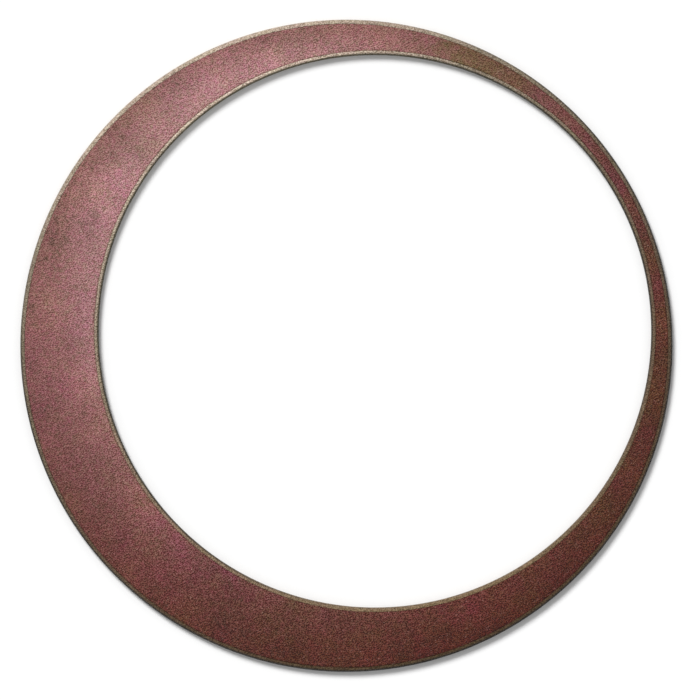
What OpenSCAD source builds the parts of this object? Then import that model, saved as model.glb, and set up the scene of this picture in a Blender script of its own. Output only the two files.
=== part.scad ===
// Flat ring for juggling with its opening set off centre.
// A stiff core carries a leather facing on each side, and a leather strip is
// folded over each edge. The facings are pared along their rims, so that the
// strips' lips lie flush with them. Millimetres, +Z up along the ring's axis. The
// origin is the outer circle's centre on the resting plane, and +X points to the
// narrow side.

/* [Ring] */
// Diameter over the outer edge
outer_d = 320; // [220:1:400]
// Width of the band at its widest, from the outer edge to the opening
wide_band_w = 40.2; // [12:0.2:60]
// Width of the band at its narrowest, across from the widest
narrow_band_w = 8.8; // [7:0.2:20]

/* [Core and facings] */
// Thickness of the stiff core
core_t = 3.1; // [1.5:0.1:4]
// Thickness of the grained leather on each side
facing_t = 1.1; // [0.8:0.1:2]
// Thickness of the adhesive under each facing
glue_t = 0.1; // [0.05:0.05:0.3]

/* [Edge bindings] */
// Thickness of the leather strips that are folded over the edges
binding_t = 0.6; // [0.4:0.1:1]
// Width that a strip covers on each side, from the ring's edge
lip_w = 2.15; // [1.8:0.05:3]
// Width of the fold, from the ring's edge to where a lip lies flat
fold_w = 1.85; // [0.8:0.05:2.5]
// Rounding of the cut edges where a lip and a facing meet
cut_edge_r = 0.2; // [0.1:0.05:0.3]
// Room between a strip's fold and the edges of the layers that it encloses
binding_gap = 0.05; // [0:0.05:0.3]

/* [Hidden] */
$fn = 180;

// How far a cutter runs past what it cuts
overrun = 1;

// Straight steps that make up a fold's half oval and a cut edge's quarter round
fold_steps = 16;
cut_edge_steps = 3;

outer_r = outer_d / 2;
opening_r = (outer_d - wide_band_w - narrow_band_w) / 2;

// How far the opening's centre sits from the outer circle's centre
opening_shift = (wide_band_w - narrow_band_w) / 2;

// Leather that paring leaves under the lips, at least
least_pared_t = 0.3;
pared_t = max(facing_t - binding_t, least_pared_t);

// Levels of the layers, from the resting plane up
back_lip_z = binding_t;
back_glue_z = back_lip_z + pared_t;
core_z = back_glue_z + glue_t;
front_glue_z = core_z + core_t;
front_facing_z = front_glue_z + glue_t;
front_lip_z = front_facing_z + pared_t;
ring_t = front_lip_z + binding_t;

// Distance from the ring's edges to the edges of the layers
layer_inset = binding_t + binding_gap;

// A rounding takes no more than its wall leaves
lip_edge_r = min(cut_edge_r, binding_t / 2);

// The fold is half an oval, as high as the ring. The strip keeps its thickness round
// the fold, and the layers between the lips are rounded to suit.
fold_outer_w = min(fold_w, lip_w - lip_edge_r);
fold_inner_w = max(fold_outer_w - binding_t, lip_edge_r);
fold_inner_h = ring_t / 2 - binding_t;

// Points along an oval's edge, from one angle to another
function oval(centre, w, h, from, to, steps) = [
    for (i = [0:steps])
        let (a = from + (to - from) * i / steps)
            centre + [w * cos(a), h * sin(a)]
];

// Points along an arc, from one angle to another
function arc(centre, r, from, to, steps) = oval(centre, r, r, from, to, steps);

// Disc as high as the layers between the lips, with rounded rims
module rounded_disc(r) {
    rotate_extrude()
        polygon(concat(
            [[0, back_lip_z]],
            oval([r - fold_inner_w, ring_t / 2], fold_inner_w, fold_inner_h, -90, 90, fold_steps),
            [[0, front_lip_z]]
        ));
}

// Cutter for a hole through those layers, which leaves the same rounded rims
module rounded_cutter(r) {
    rotate_extrude()
        polygon(concat(
            [[0, back_lip_z - overrun]],
            [[r + fold_inner_w, back_lip_z - overrun]],
            oval([r + fold_inner_w, ring_t / 2], fold_inner_w, fold_inner_h, 270, 90, fold_steps),
            [[r + fold_inner_w, front_lip_z + overrun]],
            [[0, front_lip_z + overrun]]
        ));
}

// One flat layer of the stack
module layer(z, t) {
    difference() {
        intersection() {
            rounded_disc(outer_r - layer_inset);
            translate([0, 0, z])
                cylinder(r = outer_r, h = t);
        }
        translate([opening_shift, 0, 0])
            rounded_cutter(opening_r + layer_inset);
    }
}

// Front facing: a pared layer under the lips, and the full thickness between them
module facing() {
    full_r = outer_r - lip_w - binding_gap;
    cut_r = opening_r + lip_w + binding_gap;
    top_z = front_facing_z + facing_t;
    edge_z = top_z - lip_edge_r;
    layer(front_facing_z, pared_t);
    difference() {
        rotate_extrude()
            polygon(concat(
                [[0, front_facing_z], [full_r, front_facing_z]],
                arc([full_r - lip_edge_r, edge_z], lip_edge_r, 0, 90, cut_edge_steps),
                [[0, top_z]]
            ));
        translate([opening_shift, 0, 0])
            rotate_extrude()
                polygon(concat(
                    [[0, front_facing_z - overrun], [cut_r, front_facing_z - overrun]],
                    arc([cut_r + lip_edge_r, edge_z], lip_edge_r, 180, 90, cut_edge_steps),
                    [[cut_r + lip_edge_r, top_z + overrun], [0, top_z + overrun]]
                ));
    }
}

// Section of a folded strip: x runs from the ring's edge into the band, y is height
module binding_section() {
    lip_end = lip_w - lip_edge_r;
    groove_end = binding_t + fold_inner_w;
    polygon(concat(
        arc([lip_end, lip_edge_r], lip_edge_r, 0, -90, cut_edge_steps),
        oval([fold_outer_w, ring_t / 2], fold_outer_w, ring_t / 2, 270, 90, fold_steps),
        arc([lip_end, ring_t - lip_edge_r], lip_edge_r, 90, 0, cut_edge_steps),
        [[lip_w, front_lip_z]],
        oval([groove_end, ring_t / 2], fold_inner_w, fold_inner_h, 90, 270, fold_steps),
        [[lip_w, back_lip_z]]
    ));
}

module core_ring() {
    color("#d9d2c4")
        layer(core_z, core_t);
}

module back_glue_film() {
    color("#c9a86a")
        layer(back_glue_z, glue_t);
}

module front_glue_film() {
    color("#c9a86a")
        layer(front_glue_z, glue_t);
}

module back_facing() {
    color("#80524d")
        translate([0, 0, ring_t])
            mirror([0, 0, 1])
                facing();
}

module front_facing() {
    color("#80524d")
        facing();
}

module outer_edge_binding() {
    color("#7d7059")
        rotate_extrude()
            translate([outer_r, 0])
                mirror([1, 0])
                    binding_section();
}

module inner_edge_binding() {
    color("#7d7059")
        translate([opening_shift, 0, 0])
            rotate_extrude()
                translate([opening_r, 0])
                    binding_section();
}

core_ring();
back_glue_film();
front_glue_film();
back_facing();
front_facing();
outer_edge_binding();
inner_edge_binding();
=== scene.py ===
import math

import bpy
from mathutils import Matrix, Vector, noise


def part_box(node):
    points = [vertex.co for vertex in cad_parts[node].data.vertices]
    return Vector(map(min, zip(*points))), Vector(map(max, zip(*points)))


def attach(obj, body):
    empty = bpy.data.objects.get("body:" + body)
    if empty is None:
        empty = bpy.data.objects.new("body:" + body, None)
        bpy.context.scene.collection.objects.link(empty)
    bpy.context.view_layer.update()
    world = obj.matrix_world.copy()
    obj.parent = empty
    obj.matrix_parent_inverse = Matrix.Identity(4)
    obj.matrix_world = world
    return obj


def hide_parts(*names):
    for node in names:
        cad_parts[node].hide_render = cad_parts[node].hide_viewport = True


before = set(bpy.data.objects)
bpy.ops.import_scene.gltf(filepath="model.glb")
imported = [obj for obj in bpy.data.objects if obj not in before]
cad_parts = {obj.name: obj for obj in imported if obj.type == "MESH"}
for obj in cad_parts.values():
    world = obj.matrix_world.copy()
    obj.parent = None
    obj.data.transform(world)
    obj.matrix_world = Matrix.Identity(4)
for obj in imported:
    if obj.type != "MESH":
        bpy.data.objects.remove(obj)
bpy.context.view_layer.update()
print("frame loaded:", sorted(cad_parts))

mm = 0.001

# The ring's own sizes. +X points to the narrow side of the band.
ring = {
    "outerRadius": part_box("outer_edge_binding")[1].x,
    "thickness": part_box("outer_edge_binding")[1].z,
    "wideBand": 40.2 * mm,
    "narrowBand": 8.8 * mm,
    "lipWidth": 2.15 * mm,
    "foldWidth": 1.85 * mm,
    "stripThickness": 0.6 * mm,
    "gap": 0.05 * mm,
    "hair": 0.001 * mm,  # how near a point must be to count as on a face or a rim
}
ring["openingRadius"] = ring["outerRadius"] - (ring["wideBand"] + ring["narrowBand"]) / 2
ring["openingShift"] = (ring["wideBand"] - ring["narrowBand"]) / 2


def pickNothing():
    for obj in bpy.context.selected_objects:
        obj.select_set(False)
    bpy.context.view_layer.objects.active = None


def pickOnly(obj):
    pickNothing()
    obj.select_set(True)
    bpy.context.view_layer.objects.active = obj


def settle(obj):
    # place, turn and size go into the mesh
    pickOnly(obj)
    bpy.ops.object.transform_apply(location=True, rotation=True, scale=True)


def applyModifier(obj, kind, name, **settings):
    pickOnly(obj)
    modifier = obj.modifiers.new(name, kind)
    for key, value in settings.items():
        setattr(modifier, key, value)
    bpy.ops.object.modifier_apply(modifier=modifier.name)


def fixNormals(obj):
    pickOnly(obj)
    bpy.ops.object.mode_set(mode="EDIT")
    bpy.ops.mesh.select_all(action="SELECT")
    bpy.ops.mesh.normals_make_consistent(inside=False)
    bpy.ops.object.mode_set(mode="OBJECT")


def smoothStep(value, low, high):
    share = min(max((value - low) / (high - low), 0.0), 1.0)
    return share * share * (3 - 2 * share)


def fromOuterEdge(point):
    return ring["outerRadius"] - math.hypot(point.x, point.y)


def fromOpening(point):
    return math.hypot(point.x - ring["openingShift"], point.y) - ring["openingRadius"]


# Facings: leather laid over both sides of the core.
facing = {
    "stepsRound": 1200,
    "stepsAcross": 46,
    "crowding": 0.86,           # how much the rows close up towards both rims
    "tuckDepth": 0.13 * mm,     # the leather dips towards the strips
    "tuckWidth": 2.2 * mm,
    "besideStrip": 0.1 * mm,    # the dip starts this far under the strip's lip
    "cutEdgeDrop": 0.07 * mm,   # worn edges where the leather meets the lips
    "cutEdgeStart": 0.02 * mm,
    "cutEdgeRun": 0.12 * mm,
    "sunk": 0.75,               # how far the relief below is pushed under the flat face
    "smoothAngle": math.radians(50),
    "swell": 0.09 * mm,         # slack waves, about a finger wide
    "swellSize": 21 * mm,
    "wrinkle": 0.055 * mm,      # coarse grain that a thumb can feel
    "wrinkleSize": 4.2 * mm,
    "pebble": 0.04 * mm,
    "pebbleSize": 1.9 * mm,
}


def rowShare(index):
    # rows crowd together at the two rims, where the leather is pared and tucked in
    even = index / facing["stepsAcross"]
    return even - facing["crowding"] * math.sin(2 * math.pi * even) / (2 * math.pi)


def leatherRelief(point, seed):
    # always under the flat face, so that the ring still rests on its plane
    place = Vector((point.x, point.y, seed))
    relief = 0.0
    for height, size in (("swell", "swellSize"), ("wrinkle", "wrinkleSize"), ("pebble", "pebbleSize")):
        relief += facing[height] * (noise.noise(place / facing[size]) - facing["sunk"])
    return min(relief, 0.0)


def makeFacing(name, node, up, seed):
    low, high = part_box(node)
    inset = ring["outerRadius"] - high.x
    faceZ = high.z if up > 0 else low.z
    thickness = high.z - low.z
    # the full thickness begins where the lips end
    rim = ring["lipWidth"] + ring["gap"]
    outerRadius = ring["outerRadius"] - rim
    openingRadius = ring["openingRadius"] + rim

    # a circle at the outer rim, extruded row by row towards the opening
    pickNothing()
    bpy.ops.mesh.primitive_circle_add(
        vertices=facing["stepsRound"], radius=outerRadius, location=(0, 0, faceZ))
    piece = bpy.context.object
    piece.name = name
    piece.data.name = name
    settle(piece)
    bpy.ops.object.mode_set(mode="EDIT")
    bpy.ops.mesh.select_all(action="SELECT")
    radius = outerRadius
    centre = 0.0
    for row in range(1, facing["stepsAcross"] + 1):
        share = rowShare(row)
        newRadius = outerRadius + (openingRadius - outerRadius) * share
        newCentre = ring["openingShift"] * share
        bpy.ops.mesh.extrude_region_move()
        bpy.ops.transform.resize(
            value=(newRadius / radius, newRadius / radius, 1), center_override=(centre, 0, faceZ))
        bpy.ops.transform.translate(value=(newCentre - centre, 0, 0))
        radius = newRadius
        centre = newCentre

    # each rim steps down to the pared flange under a lip, and out to the flange's end
    for edgeRadius, edgeCentre, outwards in (
            (outerRadius, 0.0, 1), (openingRadius, ring["openingShift"], -1)):
        flangeRadius = edgeRadius + outwards * (rim - inset)
        bpy.ops.mesh.select_all(action="DESELECT")
        bpy.ops.object.mode_set(mode="OBJECT")
        for vertex in piece.data.vertices:
            reach = math.hypot(vertex.co.x - edgeCentre, vertex.co.y)
            vertex.select = abs(reach - edgeRadius) < ring["hair"]
        bpy.ops.object.mode_set(mode="EDIT")
        bpy.ops.mesh.extrude_region_move(
            TRANSFORM_OT_translate={"value": (0, 0, -up * ring["stripThickness"])})
        bpy.ops.mesh.extrude_region_move()
        grow = flangeRadius / edgeRadius
        bpy.ops.transform.resize(value=(grow, grow, 1), center_override=(edgeCentre, 0, 0))

    # both ends go down through the leather, and a plain underside closes it
    bpy.ops.mesh.select_mode(type="EDGE")
    bpy.ops.mesh.select_all(action="DESELECT")
    bpy.ops.mesh.select_non_manifold()
    bpy.ops.mesh.extrude_region_move(
        TRANSFORM_OT_translate={"value": (0, 0, -up * (thickness - ring["stripThickness"]))})
    bpy.ops.mesh.bridge_edge_loops()
    bpy.ops.mesh.select_mode(type="VERT")
    bpy.ops.object.mode_set(mode="OBJECT")

    # relief, the dip towards the strips, and the flange's bevelled ends under them
    middle = ring["thickness"] / 2
    for vertex in piece.data.vertices:
        point = vertex.co
        nearest = min(fromOuterEdge(point), fromOpening(point))
        if abs(point.z - faceZ) < ring["hair"]:
            beside = smoothStep(nearest, rim - facing["besideStrip"], rim + facing["tuckWidth"])
            edge = 1 - smoothStep(nearest, rim - facing["cutEdgeStart"], rim + facing["cutEdgeRun"])
            drop = facing["tuckDepth"] * (1 - beside) + facing["cutEdgeDrop"] * edge
            vertex.co.z += up * (leatherRelief(point, seed) * beside - drop)
        elif nearest < inset + ring["hair"]:
            # the flange follows the oval that the strip is folded round
            height = abs(point.z - middle)
            ovalWidth = ring["foldWidth"] - ring["stripThickness"]
            ovalHeight = middle - ring["stripThickness"]
            squeeze = 1 - math.sqrt(max(1 - (height / ovalHeight) ** 2, 0))
            if fromOuterEdge(point) < fromOpening(point):
                scale = 1 - squeeze * ovalWidth / math.hypot(point.x, point.y)
                vertex.co.x *= scale
                vertex.co.y *= scale
            else:
                reach = math.hypot(point.x - ring["openingShift"], point.y)
                scale = 1 + squeeze * ovalWidth / reach
                vertex.co.x = ring["openingShift"] + (point.x - ring["openingShift"]) * scale
                vertex.co.y *= scale
    fixNormals(piece)
    pickOnly(piece)
    bpy.ops.object.shade_smooth_by_angle(angle=facing["smoothAngle"])
    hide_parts(node)
    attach(piece, "root")
    print("facing made:", name, len(piece.data.vertices), "vertices")
    return piece


# Bindings: leather strips folded over both edges.
binding = {
    "stepsRound": 1080,
    "foldSteps": 24,
    "lipSteps": 2,
    "weld": 0.005 * mm,          # joins the first and the last section
    "lipWave": 0.09 * mm,        # how far the hand-cut edge wanders
    "lipWaveSize": 17 * mm,
    "lipWaveStart": 0.8 * mm,    # from the ring's edge
    "lipWaveInset": 0.4,         # the share of the wave that is cut back everywhere
    "cutEdgeWear": 0.07 * mm,
    "cutEdgeAngle": math.radians(60),
    "smoothAngle": math.radians(45),
    "skin": 0.4,                 # the share of the leather that counts as its outside
    "pleatDepth": 0.05 * mm,     # small gathers where the strip bends round
    "pleatSize": 2.1 * mm,
    "pleatSeed": 7,              # sets the gathers apart from the cut edge's waves
}


def roundTheRing(point, centreX, size, seed):
    # a smooth random value that closes on itself round the ring
    angle = math.atan2(point.y, point.x - centreX)
    radius = math.hypot(point.x - centreX, point.y)
    turn = radius / size
    return noise.noise(Vector((math.cos(angle) * turn, math.sin(angle) * turn, seed)))


def makeBinding(name, node, centreX, edgeRadius, inward, seed):
    # inward is -1 where the band lies inside the edge circle and +1 where it lies outside
    middle = ring["thickness"] / 2
    foldEnd = centreX + edgeRadius + inward * ring["foldWidth"]
    lipRun = ring["lipWidth"] - ring["foldWidth"]

    # an upright oval hoop, of which the half on the band's side goes
    pickNothing()
    bpy.ops.mesh.primitive_circle_add(
        vertices=binding["foldSteps"] * 2, radius=1, location=(foldEnd, 0, middle),
        rotation=(math.pi / 2, 0, 0))
    piece = bpy.context.object
    piece.name = name
    piece.data.name = name
    piece.scale = (ring["foldWidth"], middle, 1)
    settle(piece)
    bpy.ops.object.mode_set(mode="EDIT")
    bpy.ops.mesh.select_all(action="SELECT")
    bpy.ops.mesh.bisect(
        plane_co=(foldEnd, 0, middle), plane_no=(inward, 0, 0), clear_outer=True)

    # the lips run on flat from the two ends
    bpy.ops.mesh.select_all(action="DESELECT")
    bpy.ops.object.mode_set(mode="OBJECT")
    for vertex in piece.data.vertices:
        vertex.select = abs(vertex.co.x - foldEnd) < ring["hair"]
    bpy.ops.object.mode_set(mode="EDIT")
    for step in range(binding["lipSteps"]):
        bpy.ops.mesh.extrude_region_move(
            TRANSFORM_OT_translate={"value": (inward * lipRun / binding["lipSteps"], 0, 0)})

    # and the section goes round the ring
    bpy.ops.mesh.select_all(action="SELECT")
    bpy.ops.mesh.spin(
        steps=binding["stepsRound"], angle=2 * math.pi, center=(centreX, 0, 0), axis=(0, 0, 1))
    bpy.ops.mesh.select_all(action="SELECT")
    bpy.ops.mesh.remove_doubles(threshold=binding["weld"])
    bpy.ops.mesh.normals_make_consistent(inside=False)
    bpy.ops.object.mode_set(mode="OBJECT")

    # the sheet has to face outwards before it gets its thickness
    wall = min(piece.data.polygons, key=lambda face: abs(face.center.z - middle))
    away = Vector((wall.center.x - centreX, wall.center.y, 0)) * -inward
    if wall.normal.dot(away) < 0:
        piece.data.flip_normals()
    applyModifier(
        piece, "SOLIDIFY", "leather thickness", thickness=ring["stripThickness"], offset=-1,
        use_even_offset=True, use_rim=True)
    applyModifier(
        piece, "BEVEL", "worn cut edge", width=binding["cutEdgeWear"], segments=3,
        limit_method="ANGLE", angle_limit=binding["cutEdgeAngle"])

    for vertex in piece.data.vertices:
        point = vertex.co
        reach = math.hypot(point.x - centreX, point.y)
        across = (reach - edgeRadius) * inward
        side = 1 if point.z > middle else -1
        # the cut edge wanders a little along the band
        wave = roundTheRing(point, centreX, binding["lipWaveSize"], seed + side) - binding["lipWaveInset"]
        reached = smoothStep(across, binding["lipWaveStart"], ring["lipWidth"])
        shift = wave * binding["lipWave"] * reached * inward
        vertex.co += Vector(((point.x - centreX) / reach, point.y / reach, 0)) * shift
        # gathers on the outside of the leather
        ovalShare = min(max(1 - across / ring["foldWidth"], 0), 1)
        skinHeight = middle * math.sqrt(1 - ovalShare ** 2)
        if abs(point.z - middle) > skinHeight - ring["stripThickness"] * binding["skin"]:
            pleat = roundTheRing(point, centreX, binding["pleatSize"], seed + binding["pleatSeed"] + side)
            vertex.co.z -= side * binding["pleatDepth"] * (0.5 + 0.5 * pleat) * (1 - ovalShare)
    pickOnly(piece)
    bpy.ops.object.shade_smooth_by_angle(angle=binding["smoothAngle"])
    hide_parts(node)
    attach(piece, "root")
    print("binding made:", piece.name, len(piece.data.vertices), "vertices")
    return piece


def addNode(tree, kind, inputs=None, **settings):
    node = tree.nodes.new(kind)
    for key, value in settings.items():
        setattr(node, key, value)
    for key, value in (inputs or {}).items():
        if isinstance(value, bpy.types.NodeSocket):
            tree.links.new(value, node.inputs[key])
        else:
            node.inputs[key].default_value = value
    return node


def calc(tree, operation, first, second, third=0.0):
    return addNode(
        tree, "ShaderNodeMath", {0: first, 1: second, 2: third}, operation=operation).outputs[0]


def remap(tree, value, fromLow, fromHigh, toLow=0.0, toHigh=1.0, smooth=True):
    node = addNode(
        tree, "ShaderNodeMapRange",
        {"Value": value, "From Min": fromLow, "From Max": fromHigh, "To Min": toLow, "To Max": toHigh},
        interpolation_type="SMOOTHSTEP" if smooth else "LINEAR")
    return node.outputs["Result"]


def mixColour(tree, share, first, second, blend="MIX"):
    node = tree.nodes.new("ShaderNodeMix")
    node.data_type = "RGBA"
    node.blend_type = blend
    for label, value in (("Factor", share), ("A", first), ("B", second)):
        # the node keeps a socket of each name for every kind of data, and one is enabled
        target = next(socket for socket in node.inputs if socket.name == label and socket.enabled)
        if isinstance(value, bpy.types.NodeSocket):
            tree.links.new(value, target)
        elif label == "Factor":
            target.default_value = value
        else:
            target.default_value = (*value, 1.0)
    return next(socket for socket in node.outputs if socket.enabled)


def newGroup(name, inputs, outputs):
    group = bpy.data.node_groups.new(name, "ShaderNodeTree")
    for label, kind, default in inputs:
        socket = group.interface.new_socket(name=label, in_out="INPUT", socket_type=kind)
        socket.default_value = default
    for label, kind in outputs:
        group.interface.new_socket(name=label, in_out="OUTPUT", socket_type=kind)
    return group, group.nodes.new("NodeGroupInput").outputs, group.nodes.new("NodeGroupOutput").inputs


def useGroup(tree, group, values=None):
    node = tree.nodes.new("ShaderNodeGroup")
    node.node_tree = group
    for key, value in (values or {}).items():
        if isinstance(value, bpy.types.NodeSocket):
            tree.links.new(value, node.inputs[key])
        else:
            node.inputs[key].default_value = value
    return node.outputs


def objectPlace(tree):
    return addNode(tree, "ShaderNodeTexCoord").outputs["Object"]


def flatPlace(tree):
    # the place seen along the ring's axis
    return addNode(
        tree, "ShaderNodeVectorMath", {0: objectPlace(tree), 1: (1, 1, 0)}, operation="MULTIPLY").outputs[0]


def buildBandPlace():
    # how far a point lies from the outer edge and from the opening, in metres
    group, given, out = newGroup(
        "bandPlace",
        [
            ("Outer Radius", "NodeSocketFloat", ring["outerRadius"]),
            ("Opening Radius", "NodeSocketFloat", ring["openingRadius"]),
            ("Opening Shift", "NodeSocketFloat", ring["openingShift"]),
        ],
        [
            ("From Outer", "NodeSocketFloat"),
            ("From Opening", "NodeSocketFloat"),
            ("Nearest", "NodeSocketFloat"),
        ])
    flat = flatPlace(group)
    reach = addNode(group, "ShaderNodeVectorMath", {0: flat}, operation="LENGTH").outputs["Value"]
    fromOuter = calc(group, "SUBTRACT", given["Outer Radius"], reach)
    shift = addNode(group, "ShaderNodeCombineXYZ", {"X": given["Opening Shift"]}).outputs[0]
    moved = addNode(group, "ShaderNodeVectorMath", {0: flat, 1: shift}, operation="SUBTRACT").outputs[0]
    openReach = addNode(group, "ShaderNodeVectorMath", {0: moved}, operation="LENGTH").outputs["Value"]
    fromOpen = calc(group, "SUBTRACT", openReach, given["Opening Radius"])
    group.links.new(fromOuter, out["From Outer"])
    group.links.new(fromOpen, out["From Opening"])
    group.links.new(calc(group, "MINIMUM", fromOuter, fromOpen), out["Nearest"])
    return group


grainLook = {
    "detail": 0.5,              # of the pebbles
    "roughness": 0.6,
    "cellScale": 0.8,           # of the domes between creases, beside the pebbles
    "cellSmoothness": 0.3,
    "cellReach": 0.75,
    "cellShare": 0.3,
    "wanderScale": 0.45,
    "creviceTop": 0.575,        # heights between which a crevice deepens
    "creviceBottom": 0.48,
}


def buildLeatherGrain():
    # fine pebbled grain: Height for the bump, Crevice where the dye sits deeper and where shade is painted
    group, given, out = newGroup(
        "leatherGrain",
        [
            ("Grain Size", "NodeSocketFloat", 0.6 * mm),
            ("Wander", "NodeSocketFloat", 0.4 * mm),
        ],
        [("Height", "NodeSocketFloat"), ("Crevice", "NodeSocketFloat")])
    place = objectPlace(group)
    scale = calc(group, "DIVIDE", 1.0, given["Grain Size"])
    wanderScale = calc(group, "MULTIPLY", scale, grainLook["wanderScale"])
    wander = addNode(
        group, "ShaderNodeTexNoise",
        {"Vector": place, "Scale": wanderScale, "Detail": 1.0}).outputs["Color"]
    centred = addNode(
        group, "ShaderNodeVectorMath", {0: wander, 1: (0.5, 0.5, 0.5)}, operation="SUBTRACT").outputs[0]
    push = addNode(
        group, "ShaderNodeVectorMath", {0: centred, "Scale": given["Wander"]}, operation="SCALE").outputs[0]
    moved = addNode(group, "ShaderNodeVectorMath", {0: place, 1: push}, operation="ADD").outputs[0]
    pebbles = addNode(
        group, "ShaderNodeTexNoise",
        {
            "Vector": moved,
            "Scale": scale,
            "Detail": grainLook["detail"],
            "Roughness": grainLook["roughness"],
        }).outputs["Fac"]
    cells = addNode(
        group, "ShaderNodeTexVoronoi",
        {
            "Vector": moved,
            "Scale": calc(group, "MULTIPLY", scale, grainLook["cellScale"]),
            "Smoothness": grainLook["cellSmoothness"],
        },
        feature="SMOOTH_F1").outputs["Distance"]
    dome = calc(group, "SUBTRACT", grainLook["cellReach"], cells)
    height = calc(group, "MULTIPLY_ADD", dome, grainLook["cellShare"], pebbles)
    group.links.new(height, out["Height"])
    crevice = remap(group, height, grainLook["creviceTop"], grainLook["creviceBottom"])
    group.links.new(crevice, out["Crevice"])
    return group


patinaLook = {
    "roughness": 0.62,
    "low": 0.28,                # noise values that become 0 and 1
    "high": 0.72,
    "layers": [                 # output, the size it uses, detail, and a shift of the seed
        ("Cloud", "Cloud Size", 6.0, 0.0),
        ("Hue", "Blotch Size", 5.0, 11.3),
        ("Fleck", "Fleck Size", 3.0, 23.7),
    ],
}


def buildPatina():
    # cloudy tone and colour shifts of a handled, unevenly dyed hide, each about 0 to 1
    group, given, out = newGroup(
        "patina",
        [
            ("Cloud Size", "NodeSocketFloat", 20 * mm),
            ("Blotch Size", "NodeSocketFloat", 8 * mm),
            ("Fleck Size", "NodeSocketFloat", 1.5 * mm),
            ("Seed", "NodeSocketFloat", 0.0),
        ],
        [("Cloud", "NodeSocketFloat"), ("Hue", "NodeSocketFloat"), ("Fleck", "NodeSocketFloat")])
    place = objectPlace(group)
    for label, size, detail, shift in patinaLook["layers"]:
        fac = addNode(
            group, "ShaderNodeTexNoise",
            {
                "Vector": place,
                "W": calc(group, "ADD", given["Seed"], shift),
                "Scale": calc(group, "DIVIDE", 1.0, given[size]),
                "Detail": detail,
                "Roughness": patinaLook["roughness"],
            },
            noise_dimensions="4D").outputs["Fac"]
        spread = remap(group, fac, patinaLook["low"], patinaLook["high"], smooth=False)
        group.links.new(spread, out[label])
    return group


stainLook = {
    "raggedScale": 130.0,
    "detail": 5.0,
    "roughness": 0.65,
    "wobble": 3.0,
    "core": 0.25,               # the share of the reach that is fully stained
}


def buildStain():
    # a soft spot with a ragged border, round a place on the hide
    group, given, out = newGroup(
        "stain",
        [
            ("Place", "NodeSocketVector", (0.0, 0.0, 0.0)),
            ("Reach", "NodeSocketFloat", 30 * mm),
            ("Ragged", "NodeSocketFloat", 0.6),
        ],
        [("Mask", "NodeSocketFloat")])
    away = addNode(
        group, "ShaderNodeVectorMath", {0: flatPlace(group), 1: given["Place"]},
        operation="DISTANCE").outputs["Value"]
    rough = addNode(
        group, "ShaderNodeTexNoise",
        {
            "Vector": objectPlace(group),
            "Scale": stainLook["raggedScale"],
            "Detail": stainLook["detail"],
            "Roughness": stainLook["roughness"],
        }).outputs["Fac"]
    share = calc(group, "DIVIDE", away, given["Reach"])
    wobble = calc(group, "MULTIPLY", calc(group, "SUBTRACT", rough, 0.5), given["Ragged"])
    border = calc(group, "MULTIPLY_ADD", wobble, stainLook["wobble"], share)
    group.links.new(remap(group, border, 1.0, stainLook["core"]), out["Mask"])
    return group


bandPlace = buildBandPlace()
leatherGrain = buildLeatherGrain()
patina = buildPatina()
stain = buildStain()
print("shader groups built")


def newMaterial(name, specular):
    material = bpy.data.materials.new(name)
    material.use_nodes = True
    tree = material.node_tree
    shader = tree.nodes["Principled BSDF"]
    shader.inputs["Specular IOR Level"].default_value = specular
    return material, tree, shader


def alongFade(tree, turn):
    # 0 on the dark side of the ring and 1 on the pale side
    turned = addNode(
        tree, "ShaderNodeVectorMath",
        {0: objectPlace(tree), 1: (math.cos(turn), math.sin(turn), 0)},
        operation="DOT_PRODUCT").outputs["Value"]
    return calc(tree, "MULTIPLY_ADD", turned, 0.5 / ring["outerRadius"], 0.5)


def fadeRamp(tree, place, shades):
    ramp = addNode(tree, "ShaderNodeValToRGB", {"Fac": place})
    stops = ramp.color_ramp.elements
    while len(stops) < len(shades):
        stops.new(0.5)
    for stop, (position, shade) in zip(stops, shades):
        stop.position = position
        stop.color = (*shade, 1.0)
    return ramp.outputs["Color"]


def leaning(tree, where, along):
    # 1 where the nearer rim faces the pale side, which lies towards the key light, and 0 where it faces
    # away from it; it steers painted shade on the rims
    outer = calc(tree, "LESS_THAN", where["From Outer"], where["From Opening"])
    flip = calc(tree, "MULTIPLY_ADD", outer, 2.0, -1.0)
    return calc(tree, "MULTIPLY_ADD", calc(tree, "SUBTRACT", along, 0.5), flip, 0.5)


def bandWidth(tree, where):
    return calc(tree, "ADD", where["From Outer"], where["From Opening"])


def multiply(tree, colour, factor):
    return mixColour(tree, 1.0, colour, factor, "MULTIPLY")


def tint(tree, share, colour, factor):
    return mixColour(tree, share, colour, multiply(tree, colour, factor))


def dim(tree, colour, mask, shares):
    amount = remap(tree, mask, 0.0, 1.0, *shares, smooth=False)
    return addNode(
        tree, "ShaderNodeVectorMath", {0: colour, "Scale": amount}, operation="SCALE").outputs[0]


def finishSurface(tree, shader, colour, roughness, height, depth, strength=1.0):
    tree.links.new(colour, shader.inputs["Base Color"])
    tree.links.new(roughness, shader.inputs["Roughness"])
    bump = addNode(
        tree, "ShaderNodeBump", {"Strength": strength, "Distance": depth, "Height": height})
    tree.links.new(bump.outputs["Normal"], shader.inputs["Normal"])


fade = {
    # the palest side lies close to where the key light stands; part of this fade is painted light
    "turn": math.radians(106.0),   # direction of the palest side, from +X
    "acrossBand": 0.82,            # how much paler the leather is by the opening
    "narrowShare": 0.35,           # the share of that which is left where the band is narrow
    "bandWidths": (10 * mm, 30 * mm),
    "span": 2.8,                   # length of the ramp, where the ring is 2 across
    "stops": [                     # from the darkest side to the palest
        (0.05, (0.11, 0.021, 0.011)),
        (0.28, (0.15, 0.048, 0.029)),
        (0.43, (0.19, 0.068, 0.054)),
        (0.57, (0.25, 0.10, 0.093)),
        (0.72, (0.35, 0.17, 0.15)),
        (0.86, (0.50, 0.27, 0.27)),
    ],
}

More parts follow.
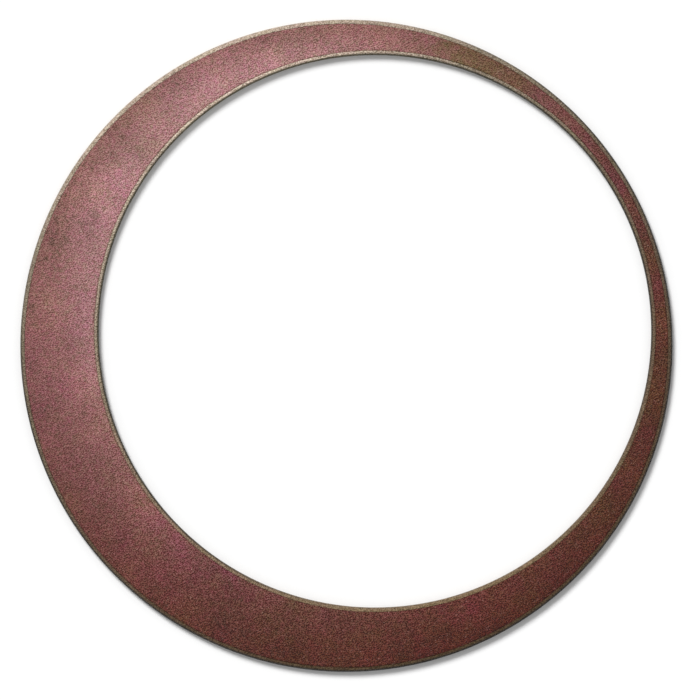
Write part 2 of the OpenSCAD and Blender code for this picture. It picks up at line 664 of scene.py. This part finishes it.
# four values in an entry are a range and the shares at its two ends
facingLook = {
    "specular": 0.34,
    "roughness": (0.32, 0.8),                # on the pebbles and in the crevices
    "grainSize": 0.6 * mm,
    "wander": 0.4 * mm,
    "bump": 1.2 * mm,
    "cloudSize": 24 * mm,
    "blotchSize": 11 * mm,
    "fleckSize": 1.6 * mm,
    "clouds": (0.80, 1.22),                  # how much the clouds dim and lighten
    "crimsonCloud": (1.12, 0.74, 1.22),
    "oliveCloud": (0.90, 1.24, 0.68),
    "cloudFade": (0.1, 0.75, 0.95, 0.2),     # along the fade
    "crimsonSpeckle": (1.14, 0.86, 1.12),
    "oliveSpeckle": (0.90, 1.12, 0.88),
    "handled": (18 * mm, 2 * mm, 0.35, 1.0), # from the outer edge
    "handledWide": (16 * mm, 32 * mm, 0.35, 1.0),
    "fleckCloud": -0.55,                     # pale clouds have fewer flecks
    "fleckRange": (0.30, 0.75),
    "fleckShare": 0.62,
    "fleck": (0.045, 0.013, 0.010),
    # dye in the pores together with painted shade between the pebbles
    "crevice": (0.32, 0.12, 0.09),
    "creviceFade": (0.2, 0.9, 1.0, 0.62),
    # painted shade in the crease beside the strips, deepest where the rim faces away from the light
    "paintedCreaseShadeWidth": 1 * mm,
    "paintedCreaseShadeFade": (0.45, 0.95, 0.75, 0.05),    # deepest where the rim faces away from the pale side
    "paintedCreaseShade": (0.55, 0.60, 0.45),
}

# spots where the dye took differently: place in mm, reach in mm, and tint
stains = [
    ((122, 93), 33, (0.73, 1.00, 0.56)),
    ((128, -84), 38, (0.90, 1.07, 0.80)),
    ((72, -137), 34, (0.93, 1.07, 0.86)),
    ((-13, -142), 36, (1.08, 0.95, 1.06)),
    ((-127, 54), 40, (1.05, 1.00, 1.08)),
    ((-124, -72), 34, (1.02, 0.92, 1.02)),
    ((-88, -105), 22, (0.95, 1.03, 0.90)),
    ((-42, 144), 24, (0.90, 0.94, 0.86)),
    ((44, 141), 13, (0.86, 0.86, 0.86)),
    ((58, 143), 36, (1.18, 1.20, 1.20)),
    ((-76, 118), 26, (1.16, 1.15, 1.16)),
    ((-122, -42), 30, (1.10, 1.10, 1.10)),
    ((-48, -134), 22, (1.08, 1.08, 1.06)),
    ((16, 149), 30, (1.16, 1.17, 1.16)),
    ((-131, -20), 22, (1.06, 1.08, 1.05)),
]


def hideFadeAndPaintedLight(tree, where, along):
    # oxblood on one side, fading to dusty rose on the other and towards the opening. The fade is partly the
    # hide's own tone and partly painted light: the side towards the key light is painted paler and hazier.
    width = bandWidth(tree, where)
    acrossBand = calc(tree, "DIVIDE", where["From Outer"], width)
    across = calc(
        tree, "MULTIPLY", calc(tree, "SUBTRACT", acrossBand, 0.5),
        remap(tree, width, *fade["bandWidths"], fade["narrowShare"], 1.0))
    centred = calc(tree, "MULTIPLY_ADD", along, 2.0, -1.0)
    whole = calc(tree, "MULTIPLY_ADD", across, fade["acrossBand"], centred)
    place = calc(tree, "MULTIPLY_ADD", whole, 1 / fade["span"], 0.5)
    colour = fadeRamp(tree, place, fade["stops"])
    for (x, y), reach, shade in stains:
        spot = useGroup(tree, stain, {"Place": (x * mm, y * mm, 0), "Reach": reach * mm})
        colour = tint(tree, spot["Mask"], colour, shade)
    return colour


def flecksOnHide(tree, where, tone):
    # dark flecks gather where the hide was handled, towards the outer edge
    handled = remap(tree, where["From Outer"], *facingLook["handled"])
    wide = remap(tree, bandWidth(tree, where), *facingLook["handledWide"])
    spread = calc(tree, "MULTIPLY_ADD", tone["Cloud"], facingLook["fleckCloud"], tone["Fleck"])
    fleck = remap(tree, spread, *facingLook["fleckRange"])
    shown = calc(tree, "MULTIPLY", fleck, calc(tree, "MULTIPLY", handled, wide))
    return calc(tree, "MULTIPLY", shown, facingLook["fleckShare"])


def makeFacingLeather():
    look = facingLook
    material, tree, shader = newMaterial("facing leather", look["specular"])
    where = useGroup(tree, bandPlace)
    grain = useGroup(tree, leatherGrain, {"Grain Size": look["grainSize"], "Wander": look["wander"]})
    tone = useGroup(
        tree, patina,
        {
            "Cloud Size": look["cloudSize"],
            "Blotch Size": look["blotchSize"],
            "Fleck Size": look["fleckSize"],
        })
    along = alongFade(tree, fade["turn"])
    colour = hideFadeAndPaintedLight(tree, where, along)

    # crimson and olive clouds, stronger on the dark side
    hue = mixColour(tree, tone["Hue"], look["crimsonCloud"], look["oliveCloud"])
    colour = tint(tree, remap(tree, along, *look["cloudFade"]), colour, hue)
    # and a fine speckle of much the same two shades
    speckle = mixColour(tree, tone["Fleck"], look["crimsonSpeckle"], look["oliveSpeckle"])
    colour = multiply(tree, colour, speckle)
    colour = dim(tree, colour, tone["Cloud"], look["clouds"])
    colour = mixColour(tree, flecksOnHide(tree, where, tone), colour, look["fleck"])

    # dye sits deeper between the pebbles, and painted shade darkens them further; less of both towards the
    # pale side
    worn = remap(tree, along, *look["creviceFade"])
    colour = tint(tree, calc(tree, "MULTIPLY", grain["Crevice"], worn), colour, look["crevice"])
    # beside the strips: painted shade in the crease, deepest where the rim faces away from the light
    shade = remap(tree, leaning(tree, where, alongFade(tree, strip["turn"])), *look["paintedCreaseShadeFade"])
    paintedCreaseShadeEnd = ring["lipWidth"] + look["paintedCreaseShadeWidth"]
    paintedCreaseShade = remap(tree, where["Nearest"], ring["lipWidth"], paintedCreaseShadeEnd, shade, 0.0)
    colour = tint(tree, paintedCreaseShade, colour, look["paintedCreaseShade"])

    roughness = remap(tree, grain["Crevice"], 0.0, 1.0, *look["roughness"])
    finishSurface(tree, shader, colour, roughness, grain["Height"], look["bump"])
    return material


# the strips fade along much the same line as the facings: partly their own tone, partly painted light,
# paler towards the key light
strip = {
    "turn": math.radians(88),      # direction of the palest side, from +X
    "stops": [                     # from the darkest side to the palest
        (0.02, (0.11, 0.068, 0.033)),
        (0.35, (0.15, 0.099, 0.061)),
        (0.65, (0.245, 0.19, 0.13)),
        (0.80, (0.335, 0.275, 0.20)),
        (1.00, (0.67, 0.54, 0.43)),
    ],
}

bindingLook = {
    "specular": 0.2,
    "roughness": (0.38, 0.7),
    "grainSize": 0.56 * mm,
    "wander": 0.4 * mm,
    "bump": 1.2 * mm,
    "cloudSize": 14 * mm,
    "blotchSize": 6 * mm,
    "fleckSize": 1.4 * mm,
    "seed": 5.0,
    "sideFrom": 1.2 * mm,                    # where the strip turns down, from the ring's edge
    "sideTo": 0.5 * mm,
    # greener tone down the side, together with painted shade
    "side": (0.17, 0.18, 0.12),
    # painted shade on the side: full where the rim faces away from the light, a tenth where it faces it
    "sideShadeFade": (0.58, 0.95, 1.0, 0.1),
    "warm": (1.04, 0.97, 1.05),
    "cool": (0.96, 1.03, 0.95),
    "clouds": (0.84, 1.16),
    # the inner strip's paler tone, with painted light where it faces the key light on the dark side
    "palerAndPaintedLightOnDark": (2.30, 2.50, 2.75),
    "palerOnPale": (1.75, 1.75, 1.86),
    "palerFade": (0.2, 0.55),                # along the ring's fade
    "palerFrom": 4 * mm,                     # from the outer edge
    "palerTo": 24 * mm,
    "fleckRange": (0.5, 0.9),
    "fleckShare": 0.35,
    "fleck": (0.040, 0.030, 0.018),
    # the lip darkens towards its cut edge: a darker edge together with painted shade of the crease beside
    # the facing
    "cutEdgeWidth": 0.3 * mm,
    "cutEdgeShare": 0.1,
    "cutEdge": (0.55, 0.50, 0.42),
    # dye in the pores together with painted shade between the pebbles
    "crevice": (0.55, 0.50, 0.44),
}


def makeBindingLeather():
    look = bindingLook
    material, tree, shader = newMaterial("binding leather", look["specular"])
    where = useGroup(tree, bandPlace)
    grain = useGroup(tree, leatherGrain, {"Grain Size": look["grainSize"], "Wander": look["wander"]})
    tone = useGroup(
        tree, patina,
        {
            "Cloud Size": look["cloudSize"],
            "Blotch Size": look["blotchSize"],
            "Fleck Size": look["fleckSize"],
            "Seed": look["seed"],
        })
    along = alongFade(tree, strip["turn"])
    # painted light as well as tone: paler towards the key light
    colour = fadeRamp(tree, along, strip["stops"])

    # tan on the lip; down the side a greener tone with painted shade, strongest where the rim faces away
    # from the light and nearly gone where it faces it
    side = remap(tree, where["Nearest"], look["sideFrom"], look["sideTo"])
    sideShadeShare = remap(tree, leaning(tree, where, along), *look["sideShadeFade"])
    colour = tint(tree, calc(tree, "MULTIPLY", side, sideShadeShare), colour, look["side"])
    colour = multiply(tree, colour, mixColour(tree, tone["Hue"], look["warm"], look["cool"]))
    colour = dim(tree, colour, tone["Cloud"], look["clouds"])
    # paler beside the opening where the band is wide; the extra on the dark side, where the opening's rim
    # faces the key light, is painted light
    paler = mixColour(
        tree, remap(tree, along, *look["palerFade"]), look["palerAndPaintedLightOnDark"], look["palerOnPale"])
    inside = remap(tree, where["From Outer"], look["palerFrom"], look["palerTo"], smooth=False)
    colour = tint(tree, inside, colour, paler)

    fleck = calc(tree, "MULTIPLY", remap(tree, tone["Fleck"], *look["fleckRange"]), look["fleckShare"])
    colour = mixColour(tree, fleck, colour, look["fleck"])
    # darker cut edge together with painted shade of the crease beside the facing
    cutEdge = remap(
        tree, where["Nearest"], ring["lipWidth"] - look["cutEdgeWidth"], ring["lipWidth"] + ring["gap"],
        0.0, look["cutEdgeShare"])
    colour = tint(tree, cutEdge, colour, look["cutEdge"])
    # dye in the pores and painted shade between the pebbles
    colour = tint(tree, grain["Crevice"], colour, look["crevice"])

    roughness = remap(tree, grain["Crevice"], 0.0, 1.0, *look["roughness"])
    finishSurface(tree, shader, colour, roughness, grain["Height"], look["bump"])
    return material


# most values of a noise mask lie in this range
maskMiddle = (0.3, 0.7)

coreLook = {
    "specular": 0.4,
    "shades": ((0.62, 0.57, 0.48), (0.69, 0.64, 0.55)),
    "roughness": (0.45, 0.6),
    "cloudSize": 30 * mm,
    "seed": 9.0,
    "bump": 0.02 * mm,
    "bumpStrength": 0.4,
}


def makeCorePlastic():
    look = coreLook
    material, tree, shader = newMaterial("core plastic", look["specular"])
    tone = useGroup(tree, patina, {"Cloud Size": look["cloudSize"], "Seed": look["seed"]})
    colour = mixColour(tree, remap(tree, tone["Cloud"], *maskMiddle), *look["shades"])
    roughness = remap(tree, tone["Fleck"], *maskMiddle, *look["roughness"])
    finishSurface(tree, shader, colour, roughness, tone["Fleck"], look["bump"], look["bumpStrength"])
    return material


glueLook = {
    "specular": 0.5,
    "shades": ((0.45, 0.29, 0.10), (0.62, 0.43, 0.17)),
    "roughness": (0.25, 0.55),
    "cloudSize": 10 * mm,
    "streakSize": 2 * mm,
    "seed": 14.0,
    "bump": 0.04 * mm,
    "bumpStrength": 0.5,
}


def makeDriedGlue():
    look = glueLook
    material, tree, shader = newMaterial("dried glue", look["specular"])
    tone = useGroup(
        tree, patina,
        {"Cloud Size": look["cloudSize"], "Blotch Size": look["streakSize"], "Seed": look["seed"]})
    colour = mixColour(tree, remap(tree, tone["Hue"], *maskMiddle), *look["shades"])
    roughness = remap(tree, tone["Cloud"], *maskMiddle, *look["roughness"])
    finishSurface(tree, shader, colour, roughness, tone["Hue"], look["bump"], look["bumpStrength"])
    return material


def dress(obj, material):
    obj.data.materials.clear()
    obj.data.materials.append(material)


studio = {
    "roll": math.radians(-26.9),       # +X lies 26.9 degrees above the view's right
    "lens": 600.0,
    "sensor": 36.0,
    "viewWidth": 343.3 * mm,           # what the view spans at the ring's height
    "offRight": 1.50 * mm,
    "offUp": -2.08 * mm,
    "keyTurn": math.radians(94),       # where the key light stands, from +X
    "keyHeight": math.radians(52),
    "keySpread": math.radians(22),
    "keyPower": 2.75,
    "fill": 0.48,
    "floorColour": (0.90, 0.90, 0.90),
    "floorRoughness": 0.9,
    "floorSize": 60.0,
    "clipEnd": 100.0,
}


def placeCamera():
    distance = studio["lens"] / studio["sensor"] * studio["viewWidth"]
    right = Vector((math.cos(studio["roll"]), math.sin(studio["roll"]), 0))
    up = Vector((-math.sin(studio["roll"]), math.cos(studio["roll"]), 0))
    spot = right * studio["offRight"] + up * studio["offUp"]
    spot.z = ring["thickness"] + distance
    bpy.ops.object.camera_add(location=spot, rotation=(0, 0, studio["roll"]))
    camera = bpy.context.object
    camera.name = "camera"
    camera.data.lens = studio["lens"]
    camera.data.sensor_width = studio["sensor"]
    camera.data.clip_end = studio["clipEnd"]
    bpy.context.scene.camera = camera


def placeLight():
    flat = math.cos(studio["keyHeight"])
    towards = Vector((
        flat * math.cos(studio["keyTurn"]),
        flat * math.sin(studio["keyTurn"]),
        math.sin(studio["keyHeight"])))
    turn = towards.to_track_quat("Z", "Y").to_euler()
    bpy.ops.object.light_add(type="SUN", location=towards, rotation=turn)
    key = bpy.context.object
    key.name = "key light"
    key.data.energy = studio["keyPower"]
    key.data.angle = studio["keySpread"]


def makeWorld():
    world = bpy.data.worlds.new("studio")
    world.use_nodes = True
    bpy.context.scene.world = world
    tree = world.node_tree
    fill = tree.nodes["Background"]
    fill.inputs["Color"].default_value = (1, 1, 1, 1)
    fill.inputs["Strength"].default_value = studio["fill"]
    # straight to the camera the background is plain white
    seen = addNode(tree, "ShaderNodeBackground", {"Color": (1, 1, 1, 1), "Strength": 1.0})
    rays = addNode(tree, "ShaderNodeLightPath")
    mix = addNode(tree, "ShaderNodeMixShader", {0: rays.outputs["Is Camera Ray"]})
    tree.links.new(fill.outputs[0], mix.inputs[1])
    tree.links.new(seen.outputs[0], mix.inputs[2])
    tree.links.new(mix.outputs[0], tree.nodes["World Output"].inputs["Surface"])


def makeFloor():
    bpy.ops.mesh.primitive_plane_add(size=studio["floorSize"], location=(0, 0, 0))
    floor = bpy.context.object
    floor.name = "floor"
    material, _, shader = newMaterial("pale floor", 0.0)
    shader.inputs["Base Color"].default_value = (*studio["floorColour"], 1)
    shader.inputs["Roughness"].default_value = studio["floorRoughness"]
    dress(floor, material)


pickNothing()
placeCamera()
placeLight()
makeWorld()
makeFloor()
bpy.context.scene.view_settings.view_transform = "Standard"
print("studio ready")

facingLeather = makeFacingLeather()
bindingLeather = makeBindingLeather()
for name, node, up, seed in (
        ("frontFacing", "front_facing", 1, 3.0),
        ("backFacing", "back_facing", -1, 41.0)):
    dress(makeFacing(name, node, up, seed), facingLeather)

for name, node, centreX, radius, inward, seed in (
        ("outerBinding", "outer_edge_binding", 0.0, ring["outerRadius"], -1, 17.0),
        ("innerBinding", "inner_edge_binding", ring["openingShift"], ring["openingRadius"], 1, 29.0)):
    dress(makeBinding(name, node, centreX, radius, inward, seed), bindingLeather)

dress(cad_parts["core_ring"], makeCorePlastic())
driedGlue = makeDriedGlue()
for node in ("back_glue_film", "front_glue_film"):
    dress(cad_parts[node], driedGlue)
print("materials on")
